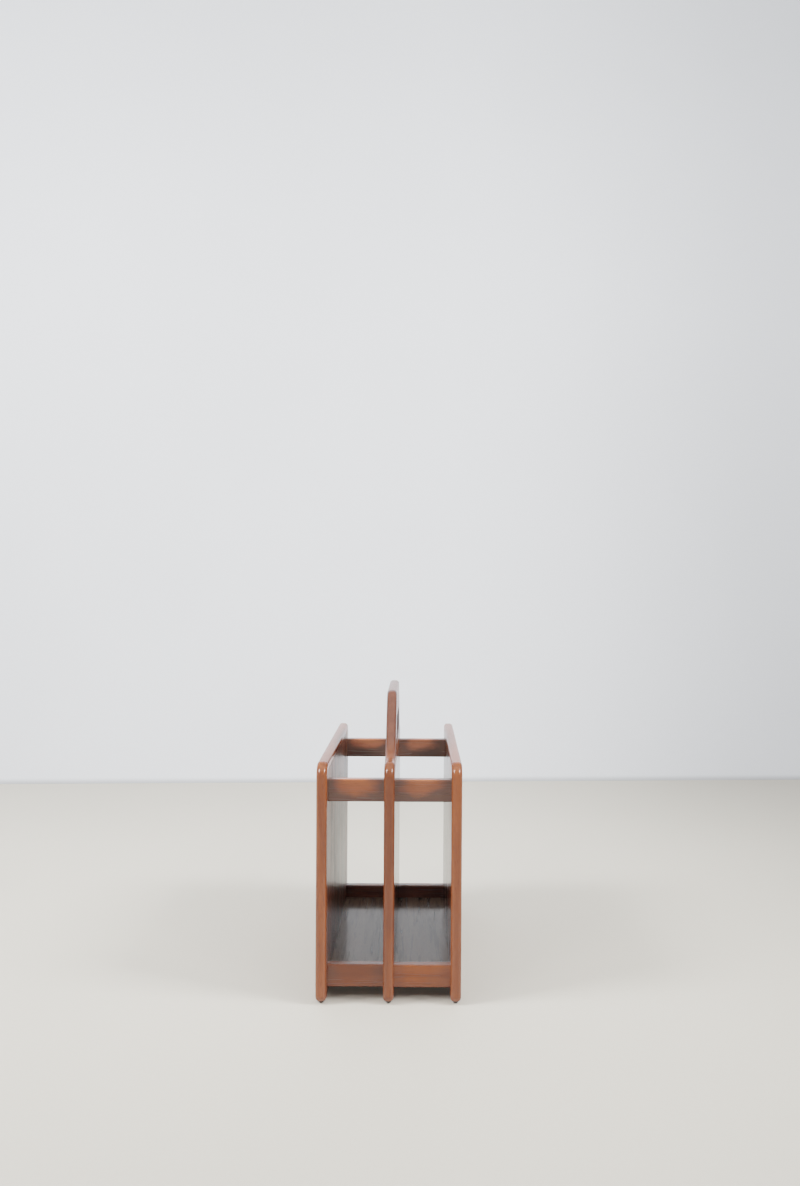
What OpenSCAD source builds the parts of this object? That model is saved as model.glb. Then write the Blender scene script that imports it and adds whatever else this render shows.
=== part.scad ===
// Magazine rack: two open bays between a pair of side panels and a taller
// centre divider whose raised middle carries a hand hole.
// +X runs across the bays, +Y from the front to the rear and +Z up. The origin
// is on the floor, at the middle of the rack.

/* [Overall] */
// Width over the two side panels
rack_w = 220; // [200:1:260]
// Length of the panels from front to rear
rack_l = 440; // [434:1:500]
// Height of the side panels above the floor
side_top = 365; // [355:1:380]
// Height of the handle above the floor
handle_top = 461; // [452:1:480]

/* [Panels] */
// Thickness of a panel with its veneers
panel_t = 16; // [16:0.5:18]
// Radius rolled along the edges of a panel
edge_r = 5.5; // [4:0.5:6]
// Corner radius at the top of a panel, seen from the side
top_corner_r = 20; // [15:1:24]
// Corner radius at the foot of a panel, seen from the side
foot_corner_r = 12; // [12:1:16]
// Width of the solid lipping round a panel
lip_w = 12; // [11:0.5:14]
// Thickness of a face veneer
veneer_t = 0.7; // [0.6:0.1:1]

/* [Handle] */
// Half the length of the raised part at its foot, before rounding
rise_foot = 165; // [160:1:168]
// How far in the raised part leans for each 1 that it climbs
rise_lean = 0.75; // [0.7:0.05:0.8]
// Radius of the hollow curve at the foot of the rise
rise_foot_r = 60; // [45:1:65]
// Radius of the shoulder at the top of the rise
rise_top_r = 28; // [28:1:40]
// Length of the hand hole
hole_l = 150; // [120:1:155]
// Height of the hand hole
hole_h = 36; // [32:1:40]
// Height of the middle of the hand hole above the floor
hole_z = 393; // [390:1:396]
// Thickness of the loose tongue that joins the handle board to the panel
tongue_t = 4; // [3:0.5:5]
// Height of the loose tongue, half of it in each piece
tongue_h = 16; // [12:1:16]

/* [Rails] */
// Height of a rail
rail_h = 34; // [30:1:36]
// Thickness of a rail
rail_t = 16; // [14:0.5:18]
// Distance from the end of a panel to the face of a rail
rail_setback = 20; // [18:1:26]
// Radius on the long edges of a rail
rail_edge_r = 2.5; // [1.5:0.5:3]
// Height of the underside of the top rails above the floor
top_rail_z = 303; // [296:1:304]
// Height of the underside of the bottom rails above the floor
foot_rail_z = 20; // [18:1:30]

/* [Bottom boards] */
// Thickness of a bottom board
board_t = 6; // [5:0.5:6]
// Height of a bottom board above the underside of its rails
board_lift = 5; // [4:0.5:6]
// Depth of the grooves that hold the bottom boards
groove_d = 4; // [3:0.5:4]

/* [Dowels] */
// Diameter of a dowel
dowel_d = 6; // [5:0.5:6]
// Distance between the two dowels of a joint
dowel_pitch = 18; // [14:1:18]
// Depth of a dowel in a rail
dowel_in_rail = 12; // [10:1:14]
// Depth of a dowel in a side panel
dowel_in_panel = 10; // [8:1:11]
// Chamfer at either end of a dowel
dowel_chamfer = 0.8; // [0.5:0.1:1]
// Room left at the blind end of a drilled hole
hole_room = 0.5; // [0.3:0.1:1]
// Glue gap round dowels, tongues and boards
glue_gap = 0.05; // [0.02:0.01:0.1]

/* [Glides] */
// Diameter of a glide
glide_d = 9; // [8:0.5:10]
// Height of a glide
glide_h = 3; // [2.5:0.5:4]
// Distance from the end of a panel to the middle of a glide
glide_inset = 14; // [14:1:24]
// Diameter of a glide's nail
nail_d = 1.8; // [1.4:0.1:2]
// Length of a nail above its glide
nail_l = 10; // [8:1:10]
// Length of a nail's point
nail_point_l = 2.5; // [2:0.5:3]
// Diameter at the tip of a nail
nail_tip_d = 0.3; // [0.2:0.1:0.5]

/* [Hidden] */
$fn = 64;

LEFT = -1;
RIGHT = 1;
FRONT = -1;
REAR = 1;

// The sides of a side panel, in the order of its outline
FOOT_SIDE = 0;
REAR_SIDE = 1;
TOP_SIDE = 2;
FRONT_SIDE = 3;

// Outline of a glide from its axis, as shares of its radius and of its height
GLIDE_OUTLINE = [[0, 0], [0.55, 0], [0.85, 0.25], [1, 0.65], [1, 1], [0, 1]];

half_l = rack_l / 2;
foot_z = glide_h;
side_x = (rack_w - panel_t) / 2;
bay_w = side_x - panel_t;
bay_x = (panel_t + bay_w) / 2;
core_t = panel_t - 2 * veneer_t;
rail_y = half_l - rail_setback - rail_t / 2;
glide_y = half_l - glide_inset;
board_z = foot_rail_z + board_lift;
// Half the length of the raised part at its top, before rounding
rise_top = rise_foot - rise_lean * (handle_top - side_top);
// The handle board begins where the corners at the ends of the panel do
handle_joint_z = side_top - top_corner_r;
// The boards reach this far from the middle, into the rails at either end
board_reach = rail_y - rail_t / 2 + groove_d;
dowel_heights = [
    for (rail_z = [foot_rail_z, top_rail_z], row = [-1, 1])
        rail_z + rail_h / 2 + row * dowel_pitch / 2
];
through_dowel_l = panel_t + 2 * dowel_in_rail;
// A little more than any panel is thick, for cutting right through one
through = 2 * panel_t;

// Outlines are lists of [y, z, corner radius], counter-clockwise seen from +X
side_outline = [
    [-half_l, foot_z, foot_corner_r],
    [half_l, foot_z, foot_corner_r],
    [half_l, side_top, top_corner_r],
    [-half_l, side_top, top_corner_r]
];
centre_outline = [
    [-half_l, foot_z, foot_corner_r],
    [half_l, foot_z, foot_corner_r],
    [half_l, side_top, top_corner_r],
    [rise_foot, side_top, rise_foot_r],
    [rise_top, handle_top, rise_top_r],
    [-rise_top, handle_top, rise_top_r],
    [-rise_foot, side_top, rise_foot_r],
    [-half_l, side_top, top_corner_r]
];

side_arcs = arcs(side_outline);
centre_arcs = arcs(centre_outline);
// The corners of the board inside the lipping, in the same order
inner_corners = [
    [lip_w - half_l, foot_z + lip_w],
    [half_l - lip_w, foot_z + lip_w],
    [half_l - lip_w, side_top - lip_w],
    [lip_w - half_l, side_top - lip_w]
];
hole_reach = (hole_l - hole_h) / 2;

// ---- Rounded outlines and rolled edges ----

function unit(v) = v / norm(v);
function flat(corner) = [corner[0], corner[1]];

// The arc that rounds corner i: [centre, radius, is it convex, first and last point]
function corner_arc(corners, i) =
    let (
        count = len(corners),
        tip = flat(corners[i]),
        radius = corners[i][2],
        back = unit(flat(corners[(i + count - 1) % count]) - tip),
        ahead = unit(flat(corners[(i + 1) % count]) - tip),
        half_angle = acos(back * ahead) / 2,
        reach = radius / tan(half_angle)
    )
    [
        tip + unit(back + ahead) * radius / sin(half_angle),
        radius,
        cross(ahead, back) > 0,
        tip + back * reach,
        tip + ahead * reach
    ];

function arcs(corners) = [for (i = [0 : len(corners) - 1]) corner_arc(corners, i)];
function inset_radius(arc, inset) = arc[2] ? arc[1] - inset : arc[1] + inset;
// The arc's first (3) or last (4) point, moved into the board by the inset
function inset_point(arc, which, inset) =
    arc[0] + (arc[which] - arc[0]) * inset_radius(arc, inset) / arc[1];
function bearing(v) = atan2(v[1], v[0]);

// A rounded outline, drawn inside the real one by the inset
module inset_outline(corners, inset) {
    all = arcs(corners);
    difference() {
        union() {
            polygon([
                for (arc = all)
                    each [inset_point(arc, 3, inset), arc[0], inset_point(arc, 4, inset)]
            ]);
            for (arc = all) if (arc[2])
                translate(arc[0]) circle(inset_radius(arc, inset));
        }
        for (arc = all) if (!arc[2])
            translate(arc[0]) circle(inset_radius(arc, inset));
    }
}

// The section of an edge with both its arrises rolled. The rim is at x = 0
// and the wood lies towards +x, as far as the width.
module edge_section(width) {
    flat_h = panel_t - 2 * edge_r;
    translate([0, -flat_h / 2]) square([edge_r, flat_h]);
    for (face = [0, 1]) mirror([0, face])
        translate([edge_r, flat_h / 2]) intersection() {
            circle(edge_r);
            translate([-edge_r, 0]) square(edge_r);
        }
    if (width > edge_r)
        translate([edge_r, -panel_t / 2]) square([width - edge_r, panel_t]);
}

// A straight edge, with its rim on the right of the way from one point to the other
module edge_bar(from, to, width) {
    translate(from) rotate([0, 0, bearing(to - from)]) rotate([90, 0, 90])
        linear_extrude(norm(to - from)) edge_section(width);
}

// The edge round an arc
module edge_turn(arc, width) {
    from = bearing(arc[arc[2] ? 3 : 4] - arc[0]);
    to = bearing(arc[arc[2] ? 4 : 3] - arc[0]);
    translate(arc[0]) rotate([0, 0, from]) rotate_extrude(angle = (to - from + 360) % 360)
        translate([arc[1], 0]) mirror([arc[2] ? 1 : 0, 0]) edge_section(width);
}

// The rolled rim through a chain of arcs, with a bar from each to the next
module rim_chain(chain) {
    for (arc = chain) edge_turn(arc, edge_r);
    for (i = [0 : len(chain) - 2]) edge_bar(chain[i][4], chain[i + 1][3], edge_r);
}

// Stands a shape drawn as y, z upright, centred on the plane at x
module upright(x) {
    translate([x, 0, 0]) rotate([90, 0, 90]) children();
}

// ---- Cuts shared by the pieces of a panel ----

// Holes for the dowels of all four rails, going from x0 to x1
module dowel_holes(x0, x1) {
    for (end = [FRONT, REAR], z = dowel_heights)
        translate([x0, end * rail_y, z])
            rotate([0, 90, 0])
                cylinder(h = x1 - x0, d = dowel_d + 2 * glue_gap);
}

// The groove for a bottom board, cut into the face at x, towards side
module panel_groove(x, side) {
    depth = groove_d + glue_gap;
    translate([side > 0 ? x : x - depth, -board_reach - glue_gap, board_z - glue_gap])
        cube([depth, 2 * (board_reach + glue_gap), board_t + 2 * glue_gap]);
}

module side_panel_cuts(side) {
    inner_x = side * (side_x - panel_t / 2);
    hole_end = inner_x + side * (dowel_in_panel + hole_room);
    dowel_holes(min(inner_x, hole_end), max(inner_x, hole_end));
    panel_groove(inner_x, side);
}

module centre_panel_cuts() {
    dowel_holes(-panel_t, panel_t);
    for (side = [LEFT, RIGHT])
        panel_groove(side * panel_t / 2, -side);
}

// ---- Panels ----

// The board inside the lipping, from x0 to x1 and up to the given height
module panel_field(x0, x1, top) {
    reach = half_l - lip_w;
    translate([x0, -reach, foot_z + lip_w])
        cube([x1 - x0, 2 * reach, top - foot_z - lip_w]);
}

module side_panel_core(side) {
    x = side * side_x;
    color("burlywood") difference() {
        panel_field(x - core_t / 2, x + core_t / 2, side_top - lip_w);
        side_panel_cuts(side);
    }
}

module side_panel_veneer(side, face) {
    x = side * side_x + face * (core_t + veneer_t) / 2;
    color("saddlebrown") difference() {
        panel_field(x - veneer_t / 2, x + veneer_t / 2, side_top - lip_w);
        side_panel_cuts(side);
    }
}

module centre_panel_core() {
    color("burlywood") difference() {
        panel_field(-core_t / 2, core_t / 2, handle_joint_z);
        centre_panel_cuts();
        tongue_slot();
    }
}

module centre_panel_veneer(face) {
    x = face * (core_t + veneer_t) / 2;
    color("saddlebrown") difference() {
        panel_field(x - veneer_t / 2, x + veneer_t / 2, handle_joint_z);
        centre_panel_cuts();
    }
}

// ---- Lippings: side 0 of a panel is its foot, 1 the rear, 2 the top, 3 the front ----

// A solid edge along one side of a side panel, mitred at both ends
module mitred_lipping(i) {
    following = (i + 1) % len(side_outline);
    intersection() {
        union() {
            edge_turn(side_arcs[i], side_arcs[i][1]);
            edge_bar(side_arcs[i][4], side_arcs[following][3], lip_w);
            edge_turn(side_arcs[following], side_arcs[following][1]);
        }
        linear_extrude(through, center = true)
            polygon([
                flat(side_outline[i]),
                flat(side_outline[following]),
                inner_corners[following],
                inner_corners[i]
            ]);
    }
}

module nail_holes(x) {
    depth = nail_l + hole_room;
    for (end = [FRONT, REAR])
        translate([x, end * glide_y, foot_z - depth])
            cylinder(h = 2 * depth, d = nail_d);
}

module side_lipping(side, i) {
    color("peru") upright(side * side_x) mitred_lipping(i);
}

module foot_lipping(x) {
    color("peru") difference() {
        upright(x) mitred_lipping(FOOT_SIDE);
        nail_holes(x);
    }
}

// The end of the centre panel, mitred at its foot and square under the handle board
module centre_end_lipping(end) {
    inner = half_l - lip_w;
    color("peru") mirror([0, end == FRONT ? 1 : 0, 0]) upright(0) intersection() {
        union() {
            edge_turn(side_arcs[1], side_arcs[1][1]);
            edge_bar(side_arcs[1][4], side_arcs[2][3], lip_w);
        }
        linear_extrude(through, center = true)
            polygon([
                flat(side_outline[1]),
                [half_l, handle_joint_z],
                [inner, handle_joint_z],
                inner_corners[1]
            ]);
    }
}

// ---- Handle ----

// A slot with round ends, lying along y round the middle of the hand hole
module hole_outline(radius) {
    for (end = [FRONT, REAR])
        translate([end * hole_reach, hole_z]) circle(radius);
    translate([-hole_reach, hole_z - radius]) square([2 * hole_reach, 2 * radius]);
}

// The arc at one end of the hand hole, going clockwise
function hole_arc(end) =
    let (
        centre = [end * hole_reach, hole_z],
        up = [0, end * hole_h / 2]
    )
    [centre, hole_h / 2, false, centre + up, centre - up];

module tongue_slot() {
    reach = half_l - 2 * lip_w + glue_gap;
    translate([-tongue_t / 2 - glue_gap, -reach, handle_joint_z - tongue_h / 2 - glue_gap])
        cube([tongue_t + 2 * glue_gap, 2 * reach, tongue_h + 2 * glue_gap]);
}

module handle_board() {
    ends = [for (end = [FRONT, REAR]) hole_arc(end)];
    color("peru") difference() {
        upright(0) {
            linear_extrude(panel_t, center = true) difference() {
                inset_outline(centre_outline, edge_r);
                translate([-rack_l, 0]) square([2 * rack_l, handle_joint_z]);
                hole_outline(hole_h / 2 + edge_r);
            }
            rim_chain([for (i = [2 : len(centre_outline) - 1]) centre_arcs[i]]);
            rim_chain(ends);
            edge_bar(ends[1][4], ends[0][3], edge_r);
        }
        tongue_slot();
    }
}

module handle_tongue() {
    reach = half_l - 2 * lip_w;
    color("burlywood")
        translate([-tongue_t / 2, -reach, handle_joint_z - tongue_h / 2])
            cube([tongue_t, 2 * reach, tongue_h]);
}

// ---- Rails and bottom boards ----

// The section of a rail as y, z, with its long edges rounded
module rail_section() {
    x = rail_t / 2 - rail_edge_r;
    z = rail_h / 2 - rail_edge_r;
    for (across = [-x, x], up = [-z, z])
        translate([across, up]) circle(rail_edge_r);
    square([2 * x, rail_h], center = true);
    square([rail_t, 2 * z], center = true);
}

module rail(side, end, z) {
    x = side * bay_x;
    hole_depth = dowel_in_rail + hole_room;
    color("sienna") difference() {
        translate([x, end * rail_y, z + rail_h / 2]) rotate([90, 0, 90])
            linear_extrude(bay_w, center = true) rail_section();
        for (face = [-1, 1])
            dowel_holes(
                x + face * bay_w / 2 - (face > 0 ? hole_depth : 0),
                x + face * bay_w / 2 + (face > 0 ? 0 : hole_depth)
            );
        if (z == foot_rail_z) rail_groove(x);
    }
}

// The space that a bottom board takes out of the rails at its ends
module rail_groove(x) {
    reach = board_reach + glue_gap;
    translate([x - bay_w, -reach, board_z - glue_gap])
        cube([2 * bay_w, 2 * reach, board_t + 2 * glue_gap]);
}

module bottom_board(side) {
    w = bay_w + 2 * groove_d;
    color("dimgray")
        translate([side * bay_x - w / 2, -board_reach, board_z])
            cube([w, 2 * board_reach, board_t]);
}

// ---- Dowels ----

// A dowel along x, with a chamfer at either end
module dowel(length) {
    shank = length - 2 * dowel_chamfer;
    rotate([0, 90, 0]) {
        cylinder(h = shank, d = dowel_d, center = true);
        for (end = [0, 1])
            mirror([0, 0, end]) translate([0, 0, shank / 2])
                cylinder(h = dowel_chamfer, d1 = dowel_d, d2 = dowel_d - 2 * dowel_chamfer);
    }
}

module side_dowels() {
    length = dowel_in_rail + dowel_in_panel;
    x = side_x - panel_t / 2 + (dowel_in_panel - dowel_in_rail) / 2;
    color("wheat")
        for (side = [LEFT, RIGHT], end = [FRONT, REAR], z = dowel_heights)
            translate([side * x, end * rail_y, z]) dowel(length);
}

module through_dowels() {
    color("wheat")
        for (end = [FRONT, REAR], z = dowel_heights)
            translate([0, end * rail_y, z]) dowel(through_dowel_l);
}

// ---- Glides ----

module glide(side, end) {
    color("black") translate([side * side_x, end * glide_y, 0]) difference() {
        rotate_extrude()
            polygon([for (share = GLIDE_OUTLINE) [share.x * glide_d / 2, share.y * glide_h]]);
        translate([0, 0, glide_h / 2]) cylinder(h = glide_h, d = nail_d);
    }
}

module glide_nails() {
    shank = glide_h / 2 + nail_l - nail_point_l;
    color("silver")
        for (x = [-side_x, 0, side_x], end = [FRONT, REAR])
            translate([x, end * glide_y, glide_h / 2]) {
                cylinder(h = shank, d = nail_d);
                translate([0, 0, shank])
                    cylinder(h = nail_point_l, d1 = nail_d, d2 = nail_tip_d);
            }
}

// ---- Nodes ----

side_panel_core(LEFT);  // left_panel_core
side_panel_veneer(LEFT, LEFT);  // left_panel_outer_veneer
side_panel_veneer(LEFT, RIGHT);  // left_panel_inner_veneer
side_lipping(LEFT, FRONT_SIDE);  // left_panel_front_lipping
side_lipping(LEFT, REAR_SIDE);  // left_panel_rear_lipping
side_lipping(LEFT, TOP_SIDE);  // left_panel_top_lipping
foot_lipping(-side_x);  // left_panel_foot_lipping
side_panel_core(RIGHT);  // right_panel_core
side_panel_veneer(RIGHT, RIGHT);  // right_panel_outer_veneer
side_panel_veneer(RIGHT, LEFT);  // right_panel_inner_veneer
side_lipping(RIGHT, FRONT_SIDE);  // right_panel_front_lipping
side_lipping(RIGHT, REAR_SIDE);  // right_panel_rear_lipping
side_lipping(RIGHT, TOP_SIDE);  // right_panel_top_lipping
foot_lipping(side_x);  // right_panel_foot_lipping
centre_panel_core();
centre_panel_veneer(LEFT);  // centre_panel_left_veneer
centre_panel_veneer(RIGHT);  // centre_panel_right_veneer
centre_end_lipping(FRONT);  // centre_panel_front_lipping
centre_end_lipping(REAR);  // centre_panel_rear_lipping
foot_lipping(0);  // centre_panel_foot_lipping
handle_board();
handle_tongue();
rail(LEFT, FRONT, top_rail_z);  // front_top_rail_left
rail(RIGHT, FRONT, top_rail_z);  // front_top_rail_right
rail(LEFT, REAR, top_rail_z);  // rear_top_rail_left
rail(RIGHT, REAR, top_rail_z);  // rear_top_rail_right
rail(LEFT, FRONT, foot_rail_z);  // front_bottom_rail_left
rail(RIGHT, FRONT, foot_rail_z);  // front_bottom_rail_right
rail(LEFT, REAR, foot_rail_z);  // rear_bottom_rail_left
rail(RIGHT, REAR, foot_rail_z);  // rear_bottom_rail_right
bottom_board(LEFT);  // bottom_board_left
bottom_board(RIGHT);  // bottom_board_right
side_dowels();
through_dowels();
glide(LEFT, FRONT);  // glide_front_left
glide(0, FRONT);  // glide_front_centre
glide(RIGHT, FRONT);  // glide_front_right
glide(LEFT, REAR);  // glide_rear_left
glide(0, REAR);  // glide_rear_centre
glide(RIGHT, REAR);  // glide_rear_right
glide_nails();
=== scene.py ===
"""A magazine rack in a pale studio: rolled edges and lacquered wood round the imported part."""

import math

import bmesh
import bpy
from mathutils import Matrix, Vector
from mathutils.geometry import tessellate_polygon


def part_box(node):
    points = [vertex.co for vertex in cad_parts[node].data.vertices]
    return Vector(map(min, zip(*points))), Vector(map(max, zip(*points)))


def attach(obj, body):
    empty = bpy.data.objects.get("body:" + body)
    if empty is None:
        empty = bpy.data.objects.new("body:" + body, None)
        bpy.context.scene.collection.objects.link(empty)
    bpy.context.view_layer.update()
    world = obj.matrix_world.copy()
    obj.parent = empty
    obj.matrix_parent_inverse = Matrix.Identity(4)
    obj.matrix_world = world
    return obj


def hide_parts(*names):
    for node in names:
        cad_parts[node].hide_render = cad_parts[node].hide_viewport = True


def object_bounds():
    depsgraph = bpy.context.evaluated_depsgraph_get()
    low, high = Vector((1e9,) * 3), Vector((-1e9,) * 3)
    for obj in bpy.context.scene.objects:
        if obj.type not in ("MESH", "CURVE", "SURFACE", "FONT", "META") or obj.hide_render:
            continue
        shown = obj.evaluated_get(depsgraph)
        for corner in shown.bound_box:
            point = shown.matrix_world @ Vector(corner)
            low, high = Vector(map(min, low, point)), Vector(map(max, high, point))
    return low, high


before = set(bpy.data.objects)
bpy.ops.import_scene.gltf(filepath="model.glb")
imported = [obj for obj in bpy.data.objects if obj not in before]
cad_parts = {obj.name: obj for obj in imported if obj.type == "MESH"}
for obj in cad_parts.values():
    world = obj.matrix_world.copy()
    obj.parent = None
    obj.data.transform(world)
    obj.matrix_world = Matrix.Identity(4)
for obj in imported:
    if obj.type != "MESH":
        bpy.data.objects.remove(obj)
cad_low, cad_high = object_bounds()

# ---- The camera, first of all ----

# Metres for places, degrees for angles, millimetres for the lens, sensor widths for the shift
CAMERA_AT = (0.0413, -1.6376, 0.6312)
CAMERA_YAW = -0.339
CAMERA_PITCH = -0.377
CAMERA_ROLL = 0.323
CAMERA_LENS = 28.685
CAMERA_SHIFT = -0.01975
CAMERA_CLIP = (0.02, 60.0)
SENSOR = 36.0


def make_camera():
    data = bpy.data.cameras.new("camera")
    data.lens = CAMERA_LENS
    data.sensor_width = SENSOR
    data.shift_x = CAMERA_SHIFT
    data.clip_start, data.clip_end = CAMERA_CLIP
    data.dof.use_dof = False
    camera = bpy.data.objects.new("camera", data)
    bpy.context.scene.collection.objects.link(camera)
    turn = (
        Matrix.Rotation(math.radians(CAMERA_YAW), 4, "Z")
        @ Matrix.Rotation(math.radians(90 + CAMERA_PITCH), 4, "X")
        @ Matrix.Rotation(math.radians(CAMERA_ROLL), 4, "Z")
    )
    camera.matrix_world = Matrix.Translation(CAMERA_AT) @ turn
    bpy.context.scene.camera = camera


make_camera()

# ---- Sizes that the pieces share with the part, in metres ----

MM = 0.001
EDGE_R = 5.5 * MM
TOP_CORNER_R = 20 * MM
FOOT_CORNER_R = 12 * MM
LIP_W = 12 * MM
RISE_FOOT = 165 * MM
RISE_LEAN = 0.75
RISE_FOOT_R = 60 * MM
RISE_TOP_R = 28 * MM
HOLE_L = 150 * MM
HOLE_H = 36 * MM
HOLE_Z = 393 * MM
RAIL_EDGE_R = 2.5 * MM

LEFT_PANEL_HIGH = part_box("left_panel_top_lipping")[1]
HANDLE_LOW, HANDLE_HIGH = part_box("handle_board")
PANEL_T = HANDLE_HIGH.x - HANDLE_LOW.x
SIDE_X = cad_high.x - PANEL_T / 2
HALF_L = cad_high.y
FOOT_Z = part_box("left_panel_foot_lipping")[0].z
SIDE_TOP = LEFT_PANEL_HIGH.z
HANDLE_TOP = HANDLE_HIGH.z
JOINT_Z = HANDLE_LOW.z
RISE_TOP = RISE_FOOT - RISE_LEAN * (HANDLE_TOP - SIDE_TOP)
HOLE_REACH = (HOLE_L - HOLE_H) / 2
HOLE_R = HOLE_H / 2

ROLL_STEPS = 8
ARC_STEP = math.radians(4)
# A narrow flat strip beside each roll keeps the shading of the flats flat
SUPPORT = 0.4 * MM
# Edges that turn more than this are shaded sharp
SHARP_ANGLE = math.radians(35)
# Lengths and slopes below this count as nothing
TINY = 1e-6
QUARTER_TURN = math.pi / 2

# The glides: how much of the radius is flat, how much of the height is domed, and their facets
GLIDE_FLAT = 0.5
GLIDE_DOME = 0.8
GLIDE_DOME_STEPS = 8
GLIDE_TURNS = 40

# Outlines are (y, z, corner radius), counter-clockwise seen from +X
SIDE_OUTLINE = [
    (-HALF_L, FOOT_Z, FOOT_CORNER_R),
    (HALF_L, FOOT_Z, FOOT_CORNER_R),
    (HALF_L, SIDE_TOP, TOP_CORNER_R),
    (-HALF_L, SIDE_TOP, TOP_CORNER_R),
]
CENTRE_OUTLINE = [
    (-HALF_L, FOOT_Z, FOOT_CORNER_R),
    (HALF_L, FOOT_Z, FOOT_CORNER_R),
    (HALF_L, SIDE_TOP, TOP_CORNER_R),
    (RISE_FOOT, SIDE_TOP, RISE_FOOT_R),
    (RISE_TOP, HANDLE_TOP, RISE_TOP_R),
    (-RISE_TOP, HANDLE_TOP, RISE_TOP_R),
    (-RISE_FOOT, SIDE_TOP, RISE_FOOT_R),
    (-HALF_L, SIDE_TOP, TOP_CORNER_R),
]
# The sides of an outline, each numbered by the corner that it starts from
FOOT, REAR, TOP, FRONT = 0, 1, 2, 3

# ---- Mesh helpers ----


def linked_object(name, bm):
    """Turns a bmesh into an object of the scene."""
    mesh = bpy.data.meshes.new(name)
    bm.to_mesh(mesh)
    bm.free()
    made = bpy.data.objects.new(name, mesh)
    bpy.context.scene.collection.objects.link(made)
    return made


def make_piece(name, bm, replaced):
    """Turns a bmesh into a smooth-shaded piece that stands for its CAD node."""
    bmesh.ops.remove_doubles(bm, verts=bm.verts, dist=TINY)
    bmesh.ops.recalc_face_normals(bm, faces=bm.faces)
    for face in bm.faces:
        face.smooth = True
    for edge in bm.edges:
        edge.smooth = len(edge.link_faces) == 2 and edge.calc_face_angle() < SHARP_ANGLE
    piece = linked_object(name, bm)
    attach(piece, "root")
    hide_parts(replaced)
    return piece


def arc_samples(corners, i):
    """The arc that rounds corner i in an even number of steps: [(y, z, outward y, outward z)]."""
    tip = Vector(corners[i][:2])
    radius = corners[i][2]
    back = (Vector(corners[i - 1][:2]) - tip).normalized()
    ahead = (Vector(corners[(i + 1) % len(corners)][:2]) - tip).normalized()
    half_angle = math.acos(back.dot(ahead)) / 2
    centre = tip + (back + ahead).normalized() * radius / math.sin(half_angle)
    reach = radius / math.tan(half_angle)
    first = tip + back * reach - centre
    last = tip + ahead * reach - centre
    convex = ahead.x * back.y - ahead.y * back.x > 0
    start = math.atan2(first.y, first.x)
    sweep = math.atan2(
        first.x * last.y - first.y * last.x, first.x * last.x + first.y * last.y
    )
    steps = 2 * max(2, round(abs(sweep) / ARC_STEP / 2))
    side = 1 if convex else -1
    samples = []
    for k in range(steps + 1):
        angle = start + sweep * k / steps
        ny, nz = math.cos(angle), math.sin(angle)
        samples.append((centre.x + radius * ny, centre.y + radius * nz, side * ny, side * nz))
    return samples


def edge_profile(depth):
    """The rolled section as (inset from the rim, place through the thickness), face to face."""
    flat = PANEL_T / 2 - EDGE_R
    half = []
    for k in range(ROLL_STEPS + 1):
        angle = QUARTER_TURN * k / ROLL_STEPS
        half.append((EDGE_R * (1 - math.cos(angle)), flat + EDGE_R * math.sin(angle)))
    half.append((EDGE_R + SUPPORT, PANEL_T / 2))
    if depth > EDGE_R + SUPPORT:
        half.append((depth, PANEL_T / 2))
    return [(u, -w) for u, w in reversed(half)] + half


def ring(bm, x, sample, depth):
    """One section of a rolled edge at a sample of the outline."""
    y, z, ny, nz = sample
    return [bm.verts.new((x + w, y - ny * u, z - nz * u)) for u, w in edge_profile(depth)]


def bridge(bm, rings, closed_path=False, closed_section=False):
    """Joins neighbouring rings with faces, leaving out corners that fall together."""
    count = len(rings)
    for i in range(count if closed_path else count - 1):
        a, b = rings[i], rings[(i + 1) % count]
        for j in range(len(a) if closed_section else len(a) - 1):
            k = (j + 1) % len(a)
            kept = []
            for v in (a[j], a[k], b[k], b[j]):
                if all(v.co != other.co for other in kept):
                    kept.append(v)
            if len(kept) > 2:
                bm.faces.new(kept)


def capped(bm, rings):
    """Joins closed sections into a bar and closes both of its ends."""
    bridge(bm, rings, closed_section=True)
    bm.faces.new(rings[0])
    bm.faces.new(list(reversed(rings[-1])))


# ---- The pieces that are made anew ----


def lipping_depth(sample):
    """How far in from the rim the straight inner face of a lipping lies."""
    y, z, ny, nz = sample
    reaches = []
    if abs(ny) > TINY:
        reaches.append((abs(y) - (HALF_L - LIP_W)) / abs(ny))
    if nz > TINY:
        reaches.append((z - (SIDE_TOP - LIP_W)) / nz)
    if nz < -TINY:
        reaches.append((FOOT_Z + LIP_W - z) / -nz)
    return max(reaches)


def lipping(name, x, samples):
    """A solid edge swept through samples of the outline."""
    bm = bmesh.new()
    capped(bm, [ring(bm, x, s, lipping_depth(s)) for s in samples])
    return make_piece(name + "_wood", bm, name)


def side_samples(i):
    """The samples along side i of a panel, from mid-corner to mid-corner."""
    first = arc_samples(SIDE_OUTLINE, i)
    second = arc_samples(SIDE_OUTLINE, (i + 1) % len(SIDE_OUTLINE))
    return first[len(first) // 2:] + second[:len(second) // 2 + 1]


def end_samples(end):
    """The samples up an end of the centre panel, from its foot corner to the handle board."""
    corner = arc_samples(SIDE_OUTLINE, REAR)
    samples = corner[len(corner) // 2:] + [(HALF_L, JOINT_Z, 1.0, 0.0)]
    return [(end * y, z, end * ny, nz) for y, z, ny, nz in samples]


def hole_samples():
    """The rim of the hand hole, which is a slot with round ends."""
    steps = round(math.pi / ARC_STEP)
    samples = []
    for end in (1, -1):
        for k in range(steps + 1):
            angle = end * QUARTER_TURN - math.pi * k / steps
            ny, nz = math.cos(angle), math.sin(angle)
            samples.append((end * HOLE_REACH + HOLE_R * ny, HOLE_Z + HOLE_R * nz, -ny, -nz))
    return samples


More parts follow.
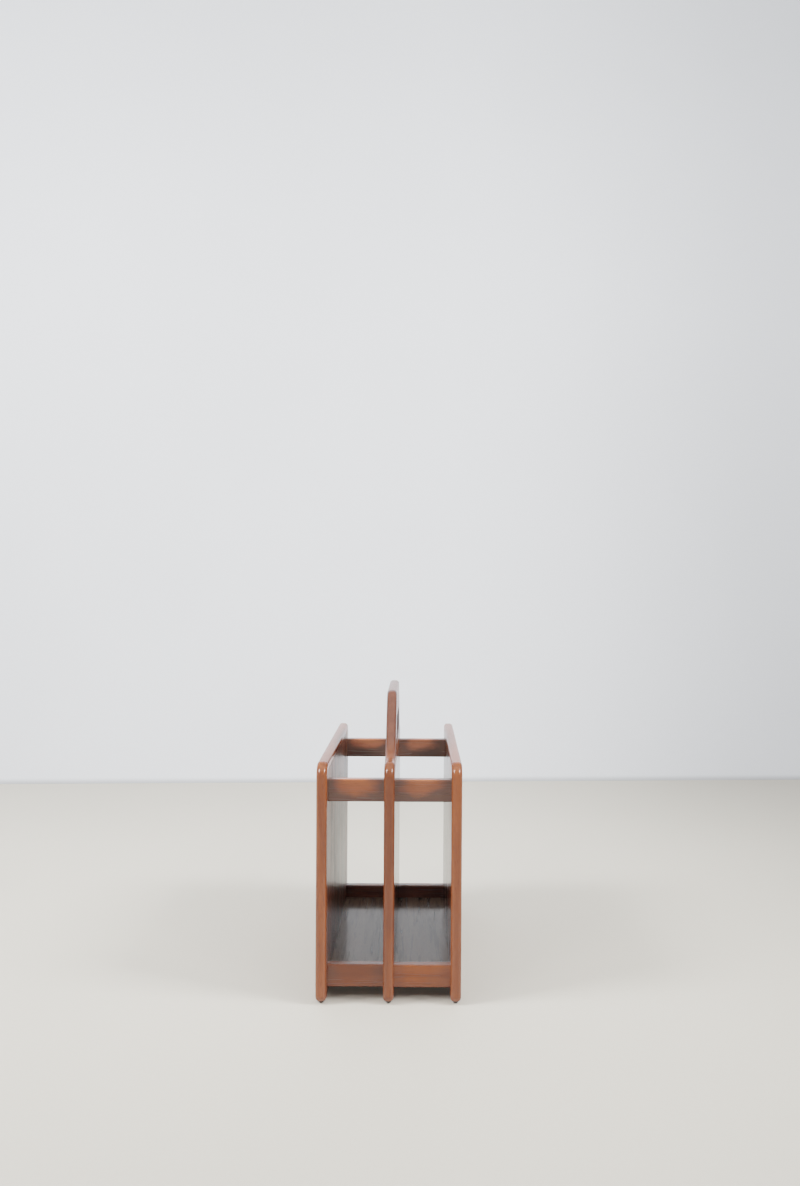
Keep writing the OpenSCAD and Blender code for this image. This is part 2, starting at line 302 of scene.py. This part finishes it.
def handle_board():
    """The solid board with the hand hole, from the top corner at one end to that at the other."""
    bm = bmesh.new()
    outer = [s for i in range(2, len(CENTRE_OUTLINE)) for s in arc_samples(CENTRE_OUTLINE, i)]
    rim = [ring(bm, 0.0, s, 0.0) for s in outer]
    hole = [ring(bm, 0.0, s, 0.0) for s in hole_samples()]
    bridge(bm, rim)
    bridge(bm, hole, closed_path=True)
    bm.faces.new(rim[0] + list(reversed(rim[-1])))
    for place in (0, -1):
        loops = [[r[place] for r in rim], [r[place] for r in hole]]
        flat = [v for loop in loops for v in loop]
        for triangle in tessellate_polygon([[v.co for v in loop] for loop in loops]):
            bm.faces.new([flat[i] for i in triangle])
    return make_piece("handle_board_wood", bm, "handle_board")


def eased_corner(cy, cz, start):
    """A quarter turn of the rail's edge radius about a centre, with a flat strip at either end."""
    angles = [start + QUARTER_TURN * k / ROLL_STEPS for k in range(ROLL_STEPS + 1)]
    points = [(cy + RAIL_EDGE_R * math.cos(a), cz + RAIL_EDGE_R * math.sin(a)) for a in angles]
    (y0, z0), (y1, z1) = points[0], points[-1]
    ahead, beyond = angles[0] + QUARTER_TURN, angles[-1] + QUARTER_TURN
    before = (y0 - SUPPORT * math.cos(ahead), z0 - SUPPORT * math.sin(ahead))
    after = (y1 + SUPPORT * math.cos(beyond), z1 + SUPPORT * math.sin(beyond))
    return [before] + points + [after]


def rail(name, shift_y, shift_z):
    """A cross rail with eased long edges, from panel to panel."""
    low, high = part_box(name)
    mid_y, mid_z = (low.y + high.y) / 2 + shift_y, (low.z + high.z) / 2 + shift_z
    half_y, half_z = (high.y - low.y) / 2, (high.z - low.z) / 2
    section = []
    for quarter, (sign_y, sign_z) in enumerate([(1, 1), (-1, 1), (-1, -1), (1, -1)]):
        cy = mid_y + sign_y * (half_y - RAIL_EDGE_R)
        cz = mid_z + sign_z * (half_z - RAIL_EDGE_R)
        section += eased_corner(cy, cz, quarter * QUARTER_TURN)
    bm = bmesh.new()
    capped(bm, [[bm.verts.new((x, y, z)) for y, z in section] for x in (low.x, high.x)])
    return make_piece(name + "_wood", bm, name)


def glide(name):
    """A small domed nail-on glide, turned round its axis."""
    low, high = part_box(name)
    centre = (low + high) / 2
    r, top = (high.x - low.x) / 2, high.z
    flat = GLIDE_FLAT * r
    profile = [(0.0, 0.0), (flat, 0.0)]
    for k in range(1, GLIDE_DOME_STEPS + 1):
        angle = QUARTER_TURN * k / GLIDE_DOME_STEPS
        out, up = (r - flat) * math.sin(angle), 1 - math.cos(angle)
        profile.append((flat + out, GLIDE_DOME * top * up))
    profile += [(r, top), (0.0, top)]
    bm = bmesh.new()
    rings = []
    for k in range(GLIDE_TURNS):
        angle = 2 * math.pi * k / GLIDE_TURNS
        c, s = math.cos(angle), math.sin(angle)
        rings.append([bm.verts.new((centre.x + q * c, centre.y + q * s, z)) for q, z in profile])
    bridge(bm, rings, closed_path=True)
    return make_piece(name + "_cap", bm, name)


# ---- Materials ----


def rgb(r, g, b):
    return (r, g, b, 1.0)


class Nodes:
    """Short calls for building a node tree."""

    def __init__(self, name):
        self.material = bpy.data.materials.new(name)
        self.material.use_nodes = True
        self.tree = self.material.node_tree
        self.tree.nodes.clear()
        self.output = self.tree.nodes.new("ShaderNodeOutputMaterial")
        self.here = self.add("TexCoord").outputs["Object"]

    def add(self, kind, inputs=(), **settings):
        node = self.tree.nodes.new("ShaderNode" + kind)
        for key, value in settings.items():
            setattr(node, key, value)
        for key, value in dict(inputs).items():
            self.put(node, key, value)
        return node

    def put(self, node, key, value):
        """Links a socket to an input, or sets the input to a constant."""
        if isinstance(value, bpy.types.NodeSocket):
            self.tree.links.new(value, node.inputs[key])
        else:
            node.inputs[key].default_value = value

    def math(self, operation, a, b=0.0):
        return self.add("Math", {0: a, 1: b}, operation=operation).outputs[0]

    def plus(self, a, b):
        return self.math("ADD", a, b)

    def minus(self, a, b):
        return self.math("SUBTRACT", a, b)

    def times(self, a, b):
        return self.math("MULTIPLY", a, b)

    def vector(self, operation, a, b):
        return self.add("VectorMath", {0: a, 1: b}, operation=operation).outputs[0]

    def length(self, vector):
        return self.add("VectorMath", {0: vector}, operation="LENGTH").outputs["Value"]

    def parts(self, vector):
        return self.add("SeparateXYZ", {0: vector}).outputs

    def grey(self, value):
        return self.add("CombineColor", {0: value, 1: value, 2: value}).outputs[0]

    def scaled(self, vector, scale, shift=(0, 0, 0)):
        inputs = {"Vector": vector, "Location": shift, "Scale": scale}
        return self.add("Mapping", inputs).outputs[0]

    def noise(self, vector, scale, detail, roughness=0.5, distortion=0.0, output="Fac"):
        inputs = {"Vector": vector, "Scale": scale, "Detail": detail, "Roughness": roughness,
                  "Distortion": distortion}
        return self.add("TexNoise", inputs).outputs[output]

    def span(self, value, low, high, out_low=0.0, out_high=1.0):
        """Maps low..high smoothly onto out_low..out_high and clamps."""
        inputs = {"Value": value, "From Min": low, "From Max": high,
                  "To Min": out_low, "To Max": out_high}
        return self.add("MapRange", inputs, interpolation_type="SMOOTHSTEP").outputs[0]

    def blend(self, factor, a, b, mode="MIX"):
        """Mixes two colours. Sockets 6, 7 and output 2 are the colour ones."""
        inputs = {0: factor, 6: a, 7: b}
        node = self.add("Mix", inputs, data_type="RGBA", blend_type=mode, clamp_factor=True)
        return node.outputs[2]

    def surface(self, **inputs):
        named = {key.replace("_", " "): value for key, value in inputs.items()}
        shader = self.add("BsdfPrincipled", named)
        self.tree.links.new(shader.outputs[0], self.output.inputs[0])
        return shader


GRAIN_ALONG = {"X": 0, "Y": 1, "Z": 2}

# How far each noise is drawn out along the grain
WAVER_STRETCH = 5.0
LINE_STRETCH = 14.0
FIBRE_STRETCH = 40.0
CRACK_STRETCH = 30.0
BREAK_STRETCH = 6.0
LIT_PATCH_STRETCH = 2.5
# How fine each noise is across the grain, in cells to the metre
WAVER_SCALE = 11.0
FIBRE_SCALE = 1400.0
PORE_SCALE = 1000.0
BREAK_SCALE = 38.0
LIT_PATCH_SCALE = 60.0
# The faint lines are this many times finer than the dark ones
FAINT_FINER = 2.6
# How far the grain wavers sideways, in metres
WAVER_REACH = 0.014
# A wood's seed moves its noises by this much along each axis
SEED_SHIFT = (1.0, 1.7, 2.3)
# The levels of each noise between which its feature comes in
MID_TONE = (0.30, 0.58)
BROAD_FIGURE = (0.50, 0.66)
DARK_LINE = (0.54, 0.66)
FAINT_LINE = (0.55, 0.75)
PORE = (0.60, 0.72)
FIBRE = (0.25, 0.75)
CRACK_RIDGE = (0.010, 0.045)
CRACK_BREAK = (0.46, 0.60)
LIT_PATCH_EDGE = (0.45, 1.25)
WORN_EDGE = (0.53, 0.62)
# How strong the features are that all the woods share
PORE_DARKNESS = 0.4
FIBRE_SHADES = (0.90, 1.10)
FIBRE_HEIGHT = 0.000006
LIT_PATCH_UNEVENNESS = 1.3
EDGE_WEAR = 0.12
# Painted shade on the rim of the hand hole: how dark, where, and its tone
HOLE_SHADE_DARKNESS = 0.8
HOLE_SHADE_RIM = (HOLE_R + 3 * MM, HOLE_R + 8 * MM)
HOLE_SHADE_TONE = (0.014, 0.011, 0.010)
# What each feature adds to the roughness
FIBRE_ROUGHNESS = 0.08
LINE_ROUGHNESS = 0.10
CRACK_ROUGHNESS = 0.14
HOLE_RIM_ROUGHNESS = 0.35


def crack_mask(n, stretched, drift, size):
    """Long thin wavering lines: the contour lines of a stretched noise, broken up by a second."""
    wandering = n.vector("ADD", stretched(CRACK_STRETCH), drift)
    contour = n.noise(wandering, 1.0 / size, 1.0, 0.5, 0.3)
    ridge = n.math("ABSOLUTE", n.minus(contour, 0.5))
    broken = n.span(n.noise(stretched(BREAK_STRETCH), BREAK_SCALE, 1.0), *CRACK_BREAK)
    return n.times(n.span(ridge, *CRACK_RIDGE, 1.0, 0.0), broken)


def shade_around_lit_patch(n, stretched, centre, reach, depth):
    """Painted shade: nothing on the painted lit patch, and up to depth away from it."""
    away = n.vector("SUBTRACT", n.here, centre)
    away = n.length(n.vector("MULTIPLY", away, tuple(1.0 / r if r else 0.0 for r in reach)))
    uneven = n.minus(n.noise(stretched(LIT_PATCH_STRETCH), LIT_PATCH_SCALE, 3.0, 0.55), 0.5)
    return n.span(n.plus(away, n.times(uneven, LIT_PATCH_UNEVENNESS)), *LIT_PATCH_EDGE, 0.0, depth)


def hole_shade_mask(n, place):
    """Full on the rim of the hand hole, which is painted in shade and made rougher."""
    past = n.minus(n.math("ABSOLUTE", place["Y"]), HOLE_REACH)
    above = n.minus(place["Z"], HOLE_Z)
    away = n.add("CombineXYZ", {0: n.math("MAXIMUM", past, 0.0), 1: above}).outputs[0]
    return n.span(n.length(away), *HOLE_SHADE_RIM, 1.0, 0.0)


def wood(name, along, tones, seed, figure, figure_size, lines, line_size, wave=0.00008,
         groove=0.00002, rough=0.22, ior=1.47, satin=False, cracks=0.0, crack_size=None,
         lit_patch=None, lower=None, hole_shaded=False):
    """Lacquered wood with its grain along one axis and its light, mid and dark tones.

    figure, lines and cracks say how dark the broad figure, the thin lines and the cracks are, and
    the sizes are across the grain. wave and groove are heights of the relief. The lit patch, if
    given, is the centre, reach and depth of a painted lit patch, with painted shade in the wood
    away from it.
    lower holds the tones that the wood has lower down, and the heights between which they give way.
    satin leaves out light that bounces twice in the lacquer.
    """
    n = Nodes(name)
    place = n.parts(n.here)
    light, mid, dark = [rgb(*tone) for tone in tones]
    if lower:
        below, start, end = lower
        share = n.span(place["Z"], start, end)
        light, mid, dark = [n.blend(share, rgb(*a), b) for a, b in zip(below, (light, mid, dark))]

    def stretched(amount):
        scale = [1.0, 1.0, 1.0]
        scale[GRAIN_ALONG[along]] = 1.0 / amount
        return n.scaled(n.here, scale, tuple(share * seed for share in SEED_SHIFT))

    waver = n.noise(stretched(WAVER_STRETCH), WAVER_SCALE, 2.0, output="Color")
    centred = n.vector("SUBTRACT", waver, (0.5, 0.5, 0.5))
    drift = n.add("VectorMath", {0: centred, "Scale": WAVER_REACH}, operation="SCALE").outputs[0]
    bent = n.vector("ADD", stretched(LINE_STRETCH), drift)

    broad = n.noise(bent, 1.0 / figure_size, 2.0, 0.45)
    fine = n.noise(bent, 1.0 / line_size, 3.0, 0.55, 0.2)
    faint = n.noise(bent, FAINT_FINER / line_size, 2.0)
    fibre = n.noise(stretched(FIBRE_STRETCH), FIBRE_SCALE, 2.0, 0.6)
    pore = n.noise(stretched(LINE_STRETCH), PORE_SCALE, 1.0)
    line_mask = n.span(fine, *DARK_LINE)
    pore_mask = n.span(pore, *PORE)

    tone = n.blend(n.span(broad, *MID_TONE), light, mid)
    tone = n.blend(n.times(n.span(broad, *BROAD_FIGURE), figure), tone, dark)
    tone = n.blend(n.times(line_mask, lines), tone, dark)
    tone = n.blend(n.times(n.span(faint, *FAINT_LINE), 0.5 * lines), tone, dark)
    gloss = n.plus(n.times(fibre, FIBRE_ROUGHNESS), rough - FIBRE_ROUGHNESS / 2)
    gloss = n.plus(gloss, n.times(line_mask, LINE_ROUGHNESS * lines))
    if cracks:
        crack = crack_mask(n, stretched, drift, crack_size)
        tone = n.blend(n.times(crack, cracks), tone, dark)
        gloss = n.plus(gloss, n.times(crack, CRACK_ROUGHNESS))
    half_black = n.blend(0.5, dark, rgb(0, 0, 0))
    tone = n.blend(n.times(pore_mask, PORE_DARKNESS), tone, half_black)
    tone = n.blend(1.0, tone, n.grey(n.span(fibre, *FIBRE, *FIBRE_SHADES)), "MULTIPLY")
    # Painted light and shade: the wood away from the painted lit patch is painted dark
    if lit_patch:
        tone = n.blend(shade_around_lit_patch(n, stretched, *lit_patch), tone, rgb(*PAINTED_SHADE))
    worn = n.span(n.add("NewGeometry").outputs["Pointiness"], *WORN_EDGE, 0.0, EDGE_WEAR)
    pale = n.blend(0.5, light, light, "ADD")
    tone = n.blend(worn, tone, pale)
    # Painted shade on the rim of the hand hole, which is also made rougher there
    if hole_shaded:
        hole_shade = hole_shade_mask(n, place)
        tone = n.blend(n.times(hole_shade, HOLE_SHADE_DARKNESS), tone, rgb(*HOLE_SHADE_TONE))
        gloss = n.plus(gloss, n.times(hole_shade, HOLE_RIM_ROUGHNESS))

    relief = n.plus(n.times(broad, wave), n.times(line_mask, -groove))
    relief = n.plus(relief, n.times(n.minus(fibre, pore_mask), FIBRE_HEIGHT))
    bump = n.add("Bump", {"Strength": 1.0, "Distance": 1.0, "Height": relief}).outputs[0]
    shader = n.surface(Base_Color=tone, Roughness=gloss, Normal=bump, IOR=ior)
    if satin:
        shader.distribution = "GGX"
    return n.material


# The light, mid and dark tones of each wood
EDGE = ((0.223, 0.054, 0.018), (0.180, 0.043, 0.014), (0.09, 0.019, 0.007))
CENTRE = ((0.176, 0.041, 0.012), (0.142, 0.033, 0.010), (0.07, 0.015, 0.006))
# Darker than the edges: partly the board's own tone, partly painted shade on the handle's slope
HANDLE = ((0.115, 0.033, 0.017), (0.100, 0.028, 0.014), (0.065, 0.017, 0.009))
RAIL = ((0.32, 0.074, 0.018), (0.24, 0.053, 0.014), (0.08, 0.018, 0.007))
FACE = ((0.175, 0.060, 0.027), (0.110, 0.036, 0.018), (0.018, 0.008, 0.006))
BOARD = ((0.140, 0.095, 0.070), (0.105, 0.072, 0.054), (0.010, 0.007, 0.006))
RAW_CORE = ((0.52, 0.36, 0.21), (0.44, 0.30, 0.17), (0.30, 0.19, 0.10))
RAW_DOWEL = ((0.62, 0.46, 0.29), (0.54, 0.39, 0.24), (0.40, 0.27, 0.15))
# The painted shade of a rail away from its painted lit patch
PAINTED_SHADE = (0.045, 0.030, 0.026)

PLAIN = {"figure": 0.25, "figure_size": 0.012, "lines": 0.25, "line_size": 0.004}
PLAINER = {"figure": 0.15, "figure_size": 0.012, "lines": 0.15, "line_size": 0.004}
STREAKY = {"figure": 0.8, "figure_size": 0.030, "lines": 0.5, "line_size": 0.008,
           "wave": 0.0004, "groove": 0.00004, "satin": True, "cracks": 0.8, "crack_size": 0.014}
# The heights between which the handle's tones take over from those of the centre panel's edges.
# The handle's darker tones are partly its own and partly painted shade for its slope and top, which
# the lamps light more than the fronts.
HANDLE_BLEND = (0.362, 0.388)

EDGE_Z = wood("edge_wood_upright", "Z", EDGE, 0.0, **PLAIN)
EDGE_Y = wood("edge_wood_level", "Y", EDGE, 0.37, **PLAIN)
CENTRE_Z = wood("centre_edge_wood_upright", "Z", CENTRE, 0.21, **PLAIN)
HANDLE_Y = wood("handle_wood_level", "Y", HANDLE, 0.91, **PLAINER, wave=0.00002, groove=0.0,
                rough=0.23, lower=(CENTRE, *HANDLE_BLEND), hole_shaded=True)
FACE_LEFT = wood("veneer_upright_left", "Z", FACE, 0.13, **STREAKY, rough=0.28)
FACE_CENTRE = wood("veneer_upright_centre", "Z", FACE, 1.31, **STREAKY, rough=0.13)
FACE_RIGHT = wood("veneer_upright_right", "Z", FACE, 2.17, **STREAKY, rough=0.18)
BOARD_Y = wood("bottom_board_level", "Y", BOARD, 0.53, 0.35, 0.024, 0.5, 0.007,
               groove=0.00001, rough=0.15, ior=1.27, cracks=0.9, crack_size=0.010)
CORE = wood("core_raw", "Z", RAW_CORE, 0.0, 0.3, 0.02, 0.3, 0.005, rough=0.6)
DOWEL = wood("dowel_raw", "X", RAW_DOWEL, 0.0, 0.2, 0.01, 0.2, 0.003, rough=0.6)

# The painted lit patch of a rail: its place along the rail, its depth below the top, its half
# length
LIT_PATCH_PLACE = 0.48
LIT_PATCH_BELOW_TOP = 5 * MM
LIT_PATCH_HALF_L = 32 * MM


def rail_wood(name, tone, grey, depth, reach, seed):
    """A rail's wood: a painted lit patch up in its middle, painted shade away from it."""
    low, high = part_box(name)
    middle = ((1 - LIT_PATCH_PLACE) * low.x + LIT_PATCH_PLACE * high.x, 0.0, high.z - LIT_PATCH_BELOW_TOP)
    # Mixing towards grey: for the rear rails this is painted shade, which greys the wood standing
    # in shade
    tones = [
        tuple(tone * (c + grey * (sum(colour) / 3 - c)) for c in colour) for colour in RAIL
    ]
    return wood(name + "_grain", "X", tones, seed, 0.30, 0.022, 0.20, 0.004, cracks=0.4,
                crack_size=0.009, lit_patch=(middle, (LIT_PATCH_HALF_L, 0.0, reach), depth))


def glide_material():
    """Dark enamel with a fine orange peel."""
    n = Nodes("glide_dark_enamel")
    speck = n.noise(n.here, 2600.0, 3.0)
    cloud = n.noise(n.here, 500.0, 2.0)
    tone = n.blend(n.span(cloud, 0.35, 0.7), rgb(0.020, 0.018, 0.017), rgb(0.045, 0.040, 0.036))
    rough = n.span(speck, 0.3, 0.7, 0.30, 0.48)
    bump = n.add("Bump", {"Strength": 0.15, "Distance": 0.0001, "Height": speck}).outputs[0]
    n.surface(Base_Color=tone, Roughness=rough, Normal=bump, Metallic=0.0, IOR=1.5)
    return n.material


def nail_material():
    """Drawn steel wire, with fine marks along it."""
    n = Nodes("nail_drawn_steel")
    drawn = n.noise(n.scaled(n.here, (1.0, 1.0, 0.05)), 4000.0, 2.0)
    tone = n.blend(drawn, rgb(0.50, 0.50, 0.51), rgb(0.68, 0.68, 0.68))
    n.surface(Base_Color=tone, Roughness=n.span(drawn, 0.3, 0.7, 0.25, 0.40), Metallic=1.0)
    return n.material


GLIDE = glide_material()
NAIL = nail_material()


def dress(piece, material):
    piece.data.materials.clear()
    piece.data.materials.append(material)


# ---- Pieces ----

for side, x in (("left", -SIDE_X), ("right", SIDE_X)):
    for where, i in (("foot", FOOT), ("rear", REAR), ("top", TOP), ("front", FRONT)):
        made = lipping(f"{side}_panel_{where}_lipping", x, side_samples(i))
        dress(made, EDGE_Z if i in (REAR, FRONT) else EDGE_Y)
for end, where in ((-1, "front"), (1, "rear")):
    dress(lipping(f"centre_panel_{where}_lipping", 0.0, end_samples(end)), CENTRE_Z)
dress(lipping("centre_panel_foot_lipping", 0.0, side_samples(FOOT)), EDGE_Y)
dress(handle_board(), HANDLE_Y)

# Each rail sits a hair out of line with the others, as hand-fitted rails do, and has its own tone.
# Each has a painted lit patch, and the rear rails' larger share of grey is painted shade:
# (shift in y, shift in z, tone, share of grey, how dark the painted shade is away from the
# painted lit patch, how far down the lit patch reaches, seed)
RAILS = {
    "front_top_rail_left": (0.0, 0.0003, 1.05, 0.10, 0.95, 0.019, 0.71),
    "front_top_rail_right": (0.0, 0.0, 0.95, 0.15, 0.92, 0.019, 1.13),
    "rear_top_rail_left": (0.0, 0.0, 1.35, 0.20, 0.95, 0.017, 1.57),
    "rear_top_rail_right": (0.0, -0.0002, 1.40, 0.22, 0.95, 0.017, 2.03),
    "front_bottom_rail_left": (0.0, 0.0004, 0.54, -0.05, 0.30, 0.030, 2.41),
    "front_bottom_rail_right": (0.0, -0.0004, 0.82, -0.04, 0.30, 0.030, 2.87),
    "rear_bottom_rail_left": (0.0, 0.0, 0.85, 0.25, 0.30, 0.030, 3.29),
    "rear_bottom_rail_right": (0.0, 0.0003, 0.90, 0.25, 0.30, 0.030, 3.77),
}
for name, (shift_y, shift_z, *wear) in RAILS.items():
    dress(rail(name, shift_y, shift_z), rail_wood(name, *wear))
for name in sorted(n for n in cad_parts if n.startswith("glide_") and n != "glide_nails"):
    dress(glide(name), GLIDE)

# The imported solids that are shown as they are
SHOWN = {
    "left_panel_core": CORE,
    "right_panel_core": CORE,
    "centre_panel_core": CORE,
    "left_panel_outer_veneer": FACE_LEFT,
    "left_panel_inner_veneer": FACE_LEFT,
    "right_panel_outer_veneer": FACE_RIGHT,
    "right_panel_inner_veneer": FACE_RIGHT,
    "centre_panel_left_veneer": FACE_CENTRE,
    "centre_panel_right_veneer": FACE_CENTRE,
    "bottom_board_left": BOARD_Y,
    "bottom_board_right": BOARD_Y,
    "handle_tongue": DOWEL,
    "side_dowels": DOWEL,
    "through_dowels": DOWEL,
    "glide_nails": NAIL,
}
for name, material in SHOWN.items():
    dress(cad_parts[name], material)

# ---- The room: floor, walls and lights ----

# The wall behind the rack stands a little turned, by this much for each metre across
WALL_Y = 1.416
WALL_TURN = 0.048
ROOM = 7.0
FAR_WALL_TOP = 4.0
WALL_LEFT = WALL_Y - WALL_TURN * ROOM
WALL_RIGHT = WALL_Y + WALL_TURN * ROOM

# Each paint is its colour, its roughness, its glow, which is painted light, and how it falls off,
# which is painted shade: (axis, from, to, share of the light left at the far end)
# The floor darkens to the right, towards the camera and towards the wall as painted shade; its glow
# is painted light that lifts its shadows, under the rack too
FLOOR_PAINT = (
    (0.470, 0.440, 0.385), 0.55, 0.05,
    [("X", 0.10, 1.40, 0.60), ("X", -0.45, -1.30, 0.97),
     ("Y", -0.15, -0.85, 0.84), ("Y", 0.55, 1.36, 0.90)],
)
# The wall darkens to the right and upwards as painted shade; its glow is painted light, and its
# last fall is a painted shadow in the crease at its foot
WALL_PAINT = (
    (0.615, 0.638, 0.675), 0.8, 0.40,
    [("X", 0.05, 1.45, 0.60), ("X", -0.8, -1.5, 0.94),
     ("Z", 1.4, 2.7, 0.80), ("Z", 0.020, 0.0, 0.62)],
)
FAR_PAINT = ((0.60, 0.61, 0.62), 0.8, 0.75, [("Z", 0.5, 4.0, 0.85)])


def stage_material(name, colour, rough, glow, falls):
    """Matt paint with a little cloudiness and grit, a painted glow and painted falloffs of light.
    """
    n = Nodes(name)
    cloud = n.noise(n.here, 1.3, 3.0)
    grit = n.noise(n.here, 160.0, 3.0, 0.6)
    amount = n.plus(n.span(cloud, 0.3, 0.7, 0.985, 1.015), n.span(grit, 0.3, 0.7, -0.008, 0.008))
    places = n.parts(n.here)
    for axis, start, end, left in falls:
        amount = n.times(amount, n.span(places[axis], start, end, 1.0, left))
    paint = n.blend(1.0, rgb(*colour), n.grey(amount), "MULTIPLY")
    n.surface(Base_Color=paint, Roughness=rough, Emission_Color=paint, Emission_Strength=glow)
    return n.material


def plane(name, corners, material):
    bm = bmesh.new()
    bm.faces.new([bm.verts.new(c) for c in corners])
    made = linked_object(name, bm)
    made.data.materials.append(material)
    return made


def wall(name, start, end, top, material):
    """An upright plane over the line on the floor from start to end."""
    (x0, y0), (x1, y1) = start, end
    return plane(name, [(x0, y0, 0), (x1, y1, 0), (x1, y1, top), (x0, y0, top)], material)


plane(
    "floor",
    [(-ROOM, -ROOM, 0), (ROOM, -ROOM, 0), (ROOM, WALL_RIGHT, 0), (-ROOM, WALL_LEFT, 0)],
    stage_material("floor_paint", *FLOOR_PAINT),
)
wall_paint = stage_material("wall_paint", *WALL_PAINT)
wall("wall", (-ROOM, WALL_LEFT), (ROOM, WALL_RIGHT), ROOM, wall_paint)

# The room's other walls are there to be seen and reflected, and let the light pass; their glow is
# painted light for the camera and the reflections
FAR_WALLS = {
    "front": [(-ROOM, -ROOM), (ROOM, -ROOM)],
    "left": [(-ROOM, WALL_LEFT), (-ROOM, -ROOM)],
    "right": [(ROOM, -ROOM), (ROOM, WALL_RIGHT)],
}
far_paint = stage_material("far_wall_paint", *FAR_PAINT)
for name, (start, end) in FAR_WALLS.items():
    far_wall = wall(f"wall_{name}", start, end, FAR_WALL_TOP, far_paint)
    far_wall.visible_diffuse = False
    far_wall.visible_shadow = False

# A pair of each, one to either side. Strong keys give the shadows, fills model the fronts and
# softboxes gleam in the lacquer: (azimuth from the camera's side and elevation in degrees,
# distance, size, power, colour, the kind of ray that can't see it)
LIGHTS = {
    "key": (70, 42, 4.2, 1.1, 265, (0.97, 0.985, 1.0), "visible_glossy"),
    "fill": (38.6, 37.6, 3.2, 0.6, 22, (1.0, 0.97, 0.94), "visible_glossy"),
    "gleam": (38.6, 37.6, 3.2, 0.7, 230, (1.0, 0.94, 0.91), "visible_diffuse"),
}
LIGHT_AIM = (0, 0, 0.2)


def area_light(name, azimuth, elevation, distance, size, power, colour, hidden_from):
    """A square soft light aimed at the rack."""
    data = bpy.data.lights.new(name, "AREA")
    data.shape = "SQUARE"
    data.size = size
    data.energy = power
    data.color = colour
    light = bpy.data.objects.new(name, data)
    bpy.context.scene.collection.objects.link(light)
    a, e = math.radians(azimuth), math.radians(elevation)
    across, ahead, up = math.sin(a) * math.cos(e), -math.cos(a) * math.cos(e), math.sin(e)
    offset = Vector((across, ahead, up)) * distance
    light.location = Vector(LIGHT_AIM) + offset
    light.rotation_mode = "QUATERNION"
    light.rotation_quaternion = offset.to_track_quat("Z", "Y")
    light.visible_camera = False
    setattr(light, hidden_from, False)


for side in (-1, 1):
    for name, (azimuth, *settings) in LIGHTS.items():
        area_light(f"{name}_{side}", side * azimuth, *settings)

# The world is bright overhead and dim near the horizon
WORLD_COLOUR = (1.0, 0.985, 0.96)
WORLD_RISE = (0.55, 0.95)
WORLD_STRENGTH = (0.08, 1.9)


def make_world():
    world = bpy.data.worlds.new("room_light")
    world.use_nodes = True
    bpy.context.scene.world = world
    nodes, links = world.node_tree.nodes, world.node_tree.links
    background = nodes["Background"]
    direction = nodes.new("ShaderNodeTexCoord")
    parts = nodes.new("ShaderNodeSeparateXYZ")
    links.new(direction.outputs["Generated"], parts.inputs[0])
    glow = nodes.new("ShaderNodeMapRange")
    glow.interpolation_type = "SMOOTHSTEP"
    links.new(parts.outputs["Z"], glow.inputs["Value"])
    glow.inputs["From Min"].default_value, glow.inputs["From Max"].default_value = WORLD_RISE
    glow.inputs["To Min"].default_value, glow.inputs["To Max"].default_value = WORLD_STRENGTH
    links.new(glow.outputs[0], background.inputs["Strength"])
    background.inputs["Color"].default_value = rgb(*WORLD_COLOUR)


make_world()

bpy.context.scene.view_settings.view_transform = "Filmic"
bpy.context.scene.view_settings.look = "None"
